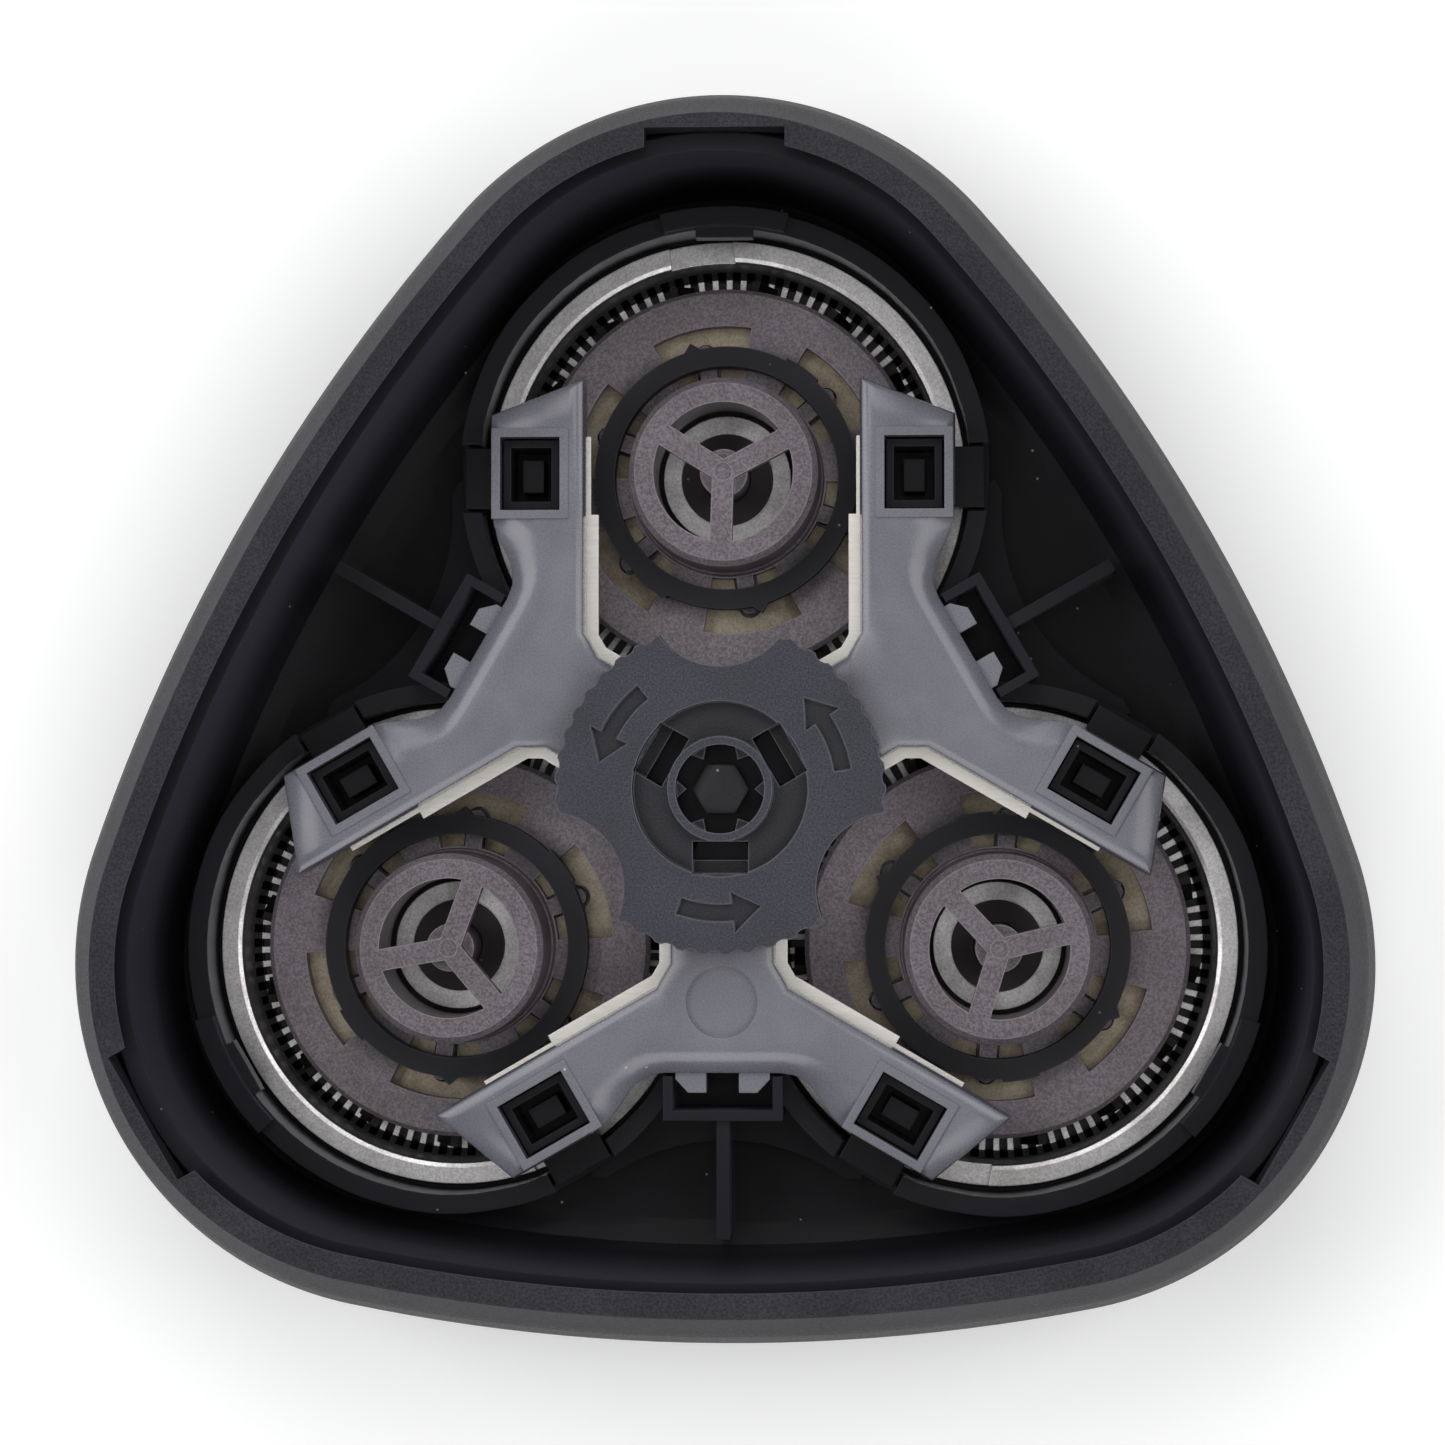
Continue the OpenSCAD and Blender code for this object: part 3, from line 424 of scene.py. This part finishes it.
def turned_steel(name, centre, colour, roughness, stain, stain_share, darker_from=None, hub=None, slots=False):
    """Steel turned on a lathe: fine rings about its own centre, grain, and darker films of oil and dust.

    The radius where the steel starts to darken and the radius of the hub are in mm: the steel is darker from the
    one on, and clean up to the other, painted pale and only partly metallic as painted light that stands in for
    its bright reflections.
    """
    made = Recipe(name).set(Metallic=1.0, Anisotropic=0.3)
    flat = made.node("ShaderNodeVectorMath", operation="MULTIPLY")
    flat.inputs[1].default_value = (1, 1, 0)
    made.link(made.centred(centre), flat.inputs[0])
    place = flat.outputs["Vector"]
    reach = made.length(place)
    grain = made.noise(1/(0.12*MM), detail=2.0, rough=0.7)
    film_and_painted_light = made.noise(320.0, detail=5.0, rough=0.65)
    tone = made.mix(made.levels(film_and_painted_light, 0.0, stain_share, 0.45, 0.75), rgb(*colour), rgb(*stain))
    fleck = made.ramp(grain, (0.36, grey(0.78)), (0.62, grey(1.12)))
    # Darker towards the blades' outer ends
    if darker_from:
        outer_darkening = made.levels(reach, 0.0, 1.0, darker_from*MM - 0.3*MM, darker_from*MM + 0.1*MM)
        tone = made.mix(outer_darkening, tone, rgb(*OUTER_DARK))
    # Painted light: the clean hub is painted pale and only partly metallic, standing in for its bright reflections
    if hub:
        tone = made.mix(made.within(reach, hub, 0.1), tone, rgb(*CLEAN_WITH_PAINTED_SHINE))
        made.paint("Metallic", made.within(reach, hub, 0.1, inside=0.35, outside=1.0))
    # Painted shade: black at the ends of the guard's slots
    if slots:
        tone = made.mix(made.slot_ends(place, reach), tone, grey(0.02))
    made.paint("Base Color", made.multiply(tone, fleck))
    made.paint("Roughness", made.levels(film_and_painted_light, roughness, roughness + 0.14))
    rings = made.node("ShaderNodeTexNoise", noise_dimensions="1D")
    rings.inputs["Scale"].default_value = 9000.0
    rings.inputs["Detail"].default_value = 2.0
    made.link(reach, rings.inputs["W"])
    ringed = made.bump(rings.outputs["Fac"], 0.004, 0.5, after=made.soft_edges(0.06))
    made.bump(grain, 0.006, 0.5, after=ringed)
    return made.material


def sheet_steel(name, colour, roughness):
    """Rolled sheet steel with a straight grain."""
    made = Recipe(name).set(Metallic=1.0)
    grain = made.noise(900.0, detail=4.0, place=made.centred((0, 0, 0), (1, 12, 1)))
    made.paint("Base Color", made.mix(made.levels(grain, 0.0, 1.0), toned(colour, 0.9), rgb(*colour)))
    made.paint("Roughness", made.levels(grain, roughness - 0.05, roughness + 0.12))
    made.bump(grain, 0.004, 0.5, after=made.soft_edges(0.05))
    return made.material


# Tones of the steels
SILVER = (0.66, 0.64, 0.64)
DUSTY = (0.30, 0.27, 0.26)
BRONZE = (0.31, 0.265, 0.205)
BRONZE_STAIN = (0.16, 0.12, 0.08)
CLEAN_WITH_PAINTED_SHINE = (0.88, 0.86, 0.86)
OUTER_DARK = (0.03, 0.027, 0.025)


# The materials, one for each slot of the record, and the turned steels for each head
def shell_plastic():
    """Painted shade: the flank is painted darker than the rim."""
    return textured_plastic(
        "shell_plastic", (0.031, 0.0305, 0.036), grain_mm=0.13, depth_mm=0.035, roughness=0.5,
        contrast=0.34, rubbed_and_highlit=(1.5, 0.01), shade=[(13.5, 16.9, 0.75)], gloss=0.12)


def knob_plastic():
    """Painted shade: all is painted dark under the top face, in the arrows too, and darker still deep inside."""
    return textured_plastic(
        "knob_plastic", (0.038, 0.039, 0.050), grain_mm=0.10, depth_mm=0.035, roughness=0.44,
        contrast=0.5, rubbed_and_highlit=(3.2, 0.06), shade=[(11.08, 11.2, 0.36), (10.0, 10.3, 0.3)], gloss=0.3)


def carrier_plastic():
    """Painted light and shade: the coupling is painted darker than the disc that it stands on, to make up for the
    shade on the disc.
    """
    return textured_plastic(
        "carrier_plastic", (0.185, 0.160, 0.178), grain_mm=0.13, depth_mm=0.03, roughness=0.36,
        contrast=0.34, rubbed_and_highlit=(1.8, 0.03), shade=[(4.3, 3.6, 0.7)], gloss=0.3)


def holder_plastic():
    # Painted light: paler higher up and on its walls
    return polished_plastic("holder_plastic", (0.0068, 0.0066, 0.0084), roughness=0.3, film_and_painted_light=2.2, wall=12.0)


def foot_plastic():
    # Painted light: paler higher up
    return polished_plastic("foot_plastic", (0.006, 0.006, 0.007), roughness=0.3, film_and_painted_light=2.0)


def clip_plastic():
    return polished_plastic("clip_plastic", (0.024, 0.024, 0.029), roughness=0.4)


def bearing_plastic():
    return polished_plastic("bearing_plastic", (0.050, 0.042, 0.046), roughness=0.35)


def frame_plastic():
    return satin_plastic("frame_plastic", (0.150, 0.150, 0.177), roughness=0.27)


def spring_steel():
    return sheet_steel("spring_steel", (0.86, 0.83, 0.78), roughness=0.42)


def guard_steel(n):
    return turned_steel(
        "guard_steel_" + n, head_centre(n), SILVER, roughness=0.36, stain=DUSTY, stain_share=0.5,
        slots=True)


def cutter_steel(n):
    """The blades are darker towards their outer ends, and the hub is clean steel, painted pale and only partly
    metallic as painted light that stands in for its bright reflections.
    """
    return turned_steel(
        "cutter_steel_" + n, head_centre(n), BRONZE, roughness=0.42, stain=BRONZE_STAIN, stain_share=0.7,
        darker_from=9.7, hub=3.8)


OF_SLOT = {
    "shell_plastic": shell_plastic(),
    "knob_plastic": knob_plastic(),
    "holder_plastic": holder_plastic(),
    "foot_plastic": foot_plastic(),
    "clip_plastic": clip_plastic(),
    "bearing_plastic": bearing_plastic(),
    "frame_plastic": frame_plastic(),
    "carrier_plastic": carrier_plastic(),
    "spring_steel": spring_steel(),
}
FINISH = {node: OF_SLOT[slot] for node, slot in MATERIAL_SLOT.items() if slot in OF_SLOT}
for n in HEADS:
    FINISH["guard_" + n] = guard_steel(n)
    FINISH["cutter_" + n] = cutter_steel(n)
for node, material in FINISH.items():
    for slot in nodes[node].material_slots:
        slot.material = material


# Smooth copies of the moulded pieces, so that light runs over their curves without facets: the CAD node,
# the copy's name, the angle from which an edge stays sharp, and the cuts in each edge of a round outline
SMOOTH = [
    ("outer_shell", "shell_smooth", 24, 3),
    ("inner_holder", "holder_smooth", 24, 1),
    ("retaining_frame", "frame_smooth", 34, 0),
    ("lock_knob", "knob_smooth", 30, 0),
]
for n in HEADS:
    SMOOTH.append(("carrier_" + n, "carrier_smooth_" + n, 30, 0))
for node, name, degrees, cuts in SMOOTH:
    dress(merged_copy(node, name, degrees, cuts), FINISH[node])


# The table lies just under the guards' faces, so that it doesn't touch them
TABLE_SIDE = 2.0
TABLE_DROP = 0.05*MM

# Painted shade: the table is painted dark up to the first distance from a head's middle and pale from the other
# on, in mm
SHADE_UP_TO = 11.2
PALE_FROM = 12.0


def table_paint():
    """Plain pale paint that glows a little, as painted light that lifts its shadows, with deep painted shade under
    the three guards.
    """
    made = Recipe("table_paint").set(Roughness=0.6, Emission_Strength=0.22)
    distances = [made.length(made.centred(head_centre(n))) for n in HEADS]
    nearest = distances[0]
    for distance in distances[1:]:
        nearest = made.calculate("MINIMUM", nearest, distance)
    lit = made.levels(nearest, 0.0, 1.0, SHADE_UP_TO*MM, PALE_FROM*MM)
    paint = made.mix(lit, grey(0.012), grey(0.9))
    made.paint("Base Color", paint)
    # The glow is painted light, and it is as dark as the paint under the guards
    made.paint("Emission Color", paint)
    return made.material


bpy.ops.mesh.primitive_plane_add(size=TABLE_SIDE, location=(0, 0, -TABLE_DROP))
table = bpy.context.object
table.name = "table"
dress(table, table_paint())
deselect_all()


# Four large soft boxes stand round the camera, each with a name, a direction in degrees and its watts.
# A faint one overhead is what level steel mirrors.
MIDDLE = Vector((0, 0, 0.008))
BOXES = (("left", 165, 1.75), ("right", 15, 1.5), ("top", 95, 1.45), ("bottom", 275, 1.45))
BOX_RADIUS = 0.46
BOX_HEIGHT = 0.54
BOX_SIDE = 0.42
OVERHEAD_PLACE = (0.02, -0.01, 0.30)
OVERHEAD_SIDE = 0.17
OVERHEAD_WATTS = 0.055


def soft_light(name, place, side, watts):
    """A square soft box that faces the middle of the head."""
    lamp = bpy.data.lights.new(name, "AREA")
    lamp.shape = "RECTANGLE"
    lamp.size = side
    lamp.size_y = side
    lamp.energy = watts
    soft_box = bpy.data.objects.new(name, lamp)
    bpy.context.collection.objects.link(soft_box)
    soft_box.location = place
    soft_box.rotation_euler = (MIDDLE - Vector(place)).to_track_quat("-Z", "Y").to_euler()


for name, degrees, watts in BOXES:
    angle = math.radians(degrees)
    place = (BOX_RADIUS*math.cos(angle), BOX_RADIUS*math.sin(angle), BOX_HEIGHT)
    soft_light("light_" + name, place, BOX_SIDE, watts)
soft_light("light_overhead", OVERHEAD_PLACE, OVERHEAD_SIDE, OVERHEAD_WATTS)


# The room is dim, so that the plastics stay dark, and shows as a pale backdrop past the table's far edge
ROOM_LIGHT = 0.12
BACKDROP = 0.85
world = bpy.data.worlds.new("studio")
bpy.context.scene.world = world
world.use_nodes = True
room = world.node_tree
seen = room.nodes.new("ShaderNodeLightPath")
strength = room.nodes.new("ShaderNodeMath")
strength.operation = "MULTIPLY_ADD"
room.links.new(seen.outputs["Is Camera Ray"], strength.inputs[0])
strength.inputs[1].default_value = BACKDROP - ROOM_LIGHT
strength.inputs[2].default_value = ROOM_LIGHT
room.links.new(strength.outputs["Value"], room.nodes["Background"].inputs["Strength"])
room.nodes["Background"].inputs["Color"].default_value = rgb(0.95, 0.97, 1.0)

# The camera hangs above the open side, a little to the right and towards the lower edge.
# Its focal length is in pixels of the photo's frame.
CAMERA_HEIGHT = 198*MM
CAMERA_LEAN = (9*MM, -4.5*MM)
AIM = Vector((0.14*MM, 3.4*MM, 11.3*MM))
FOCAL_PIXELS = 3652
FRAME_PIXELS = 1445
SENSOR_WIDTH = 36.0
lens = bpy.data.cameras.new("camera")
lens.sensor_fit = "HORIZONTAL"
lens.sensor_width = SENSOR_WIDTH
lens.lens = FOCAL_PIXELS/FRAME_PIXELS*SENSOR_WIDTH
lens.clip_start = 0.01
camera = bpy.data.objects.new("camera", lens)
bpy.context.collection.objects.link(camera)
camera.location = (AIM.x + CAMERA_LEAN[0], AIM.y + CAMERA_LEAN[1], CAMERA_HEIGHT)
forward = (AIM - camera.location).normalized()
right = forward.cross(Vector((0, 1, 0))).normalized()
upright = Matrix((right, right.cross(forward), -forward)).transposed()
camera.rotation_euler = upright.to_euler()
bpy.context.scene.camera = camera
bpy.context.scene.view_settings.view_transform = "Standard"
bpy.context.scene.view_settings.look = "None"
